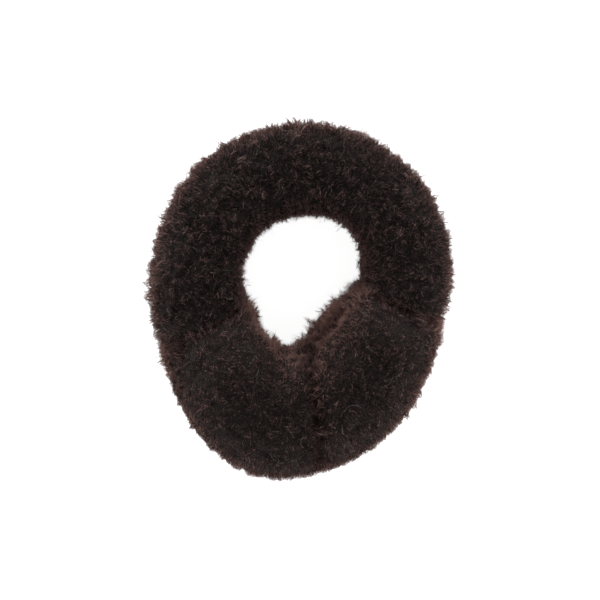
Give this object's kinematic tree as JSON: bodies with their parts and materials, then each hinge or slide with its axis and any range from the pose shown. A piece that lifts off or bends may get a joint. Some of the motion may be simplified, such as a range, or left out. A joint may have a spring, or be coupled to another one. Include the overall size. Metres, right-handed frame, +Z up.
{
  "type": "fur earmuffs",
  "caption": "Curly shearling earmuffs with a thick fur headband roll and ear pads closed together into a ring.",
  "frame": {"origin": "middle of the ring's box, on the floor that it lies on", "axes": "+Z up from the floor and along the hole, +Y to the crown of the headband, +X to the right ear pad"},
  "size_m": [0.1998, 0.23, 0.0928],
  "materials": {
    "headband_fur": "curly shearling fur, matt with a soft sheen",
    "ear_pad_fur": "short dense shearling fur, matt with a soft sheen"
  },
  "bodies": {
    "root": {"headband": "headband_fur", "left_ear_pad": "ear_pad_fur", "right_ear_pad": "ear_pad_fur"}
  },
  "joints": []
}
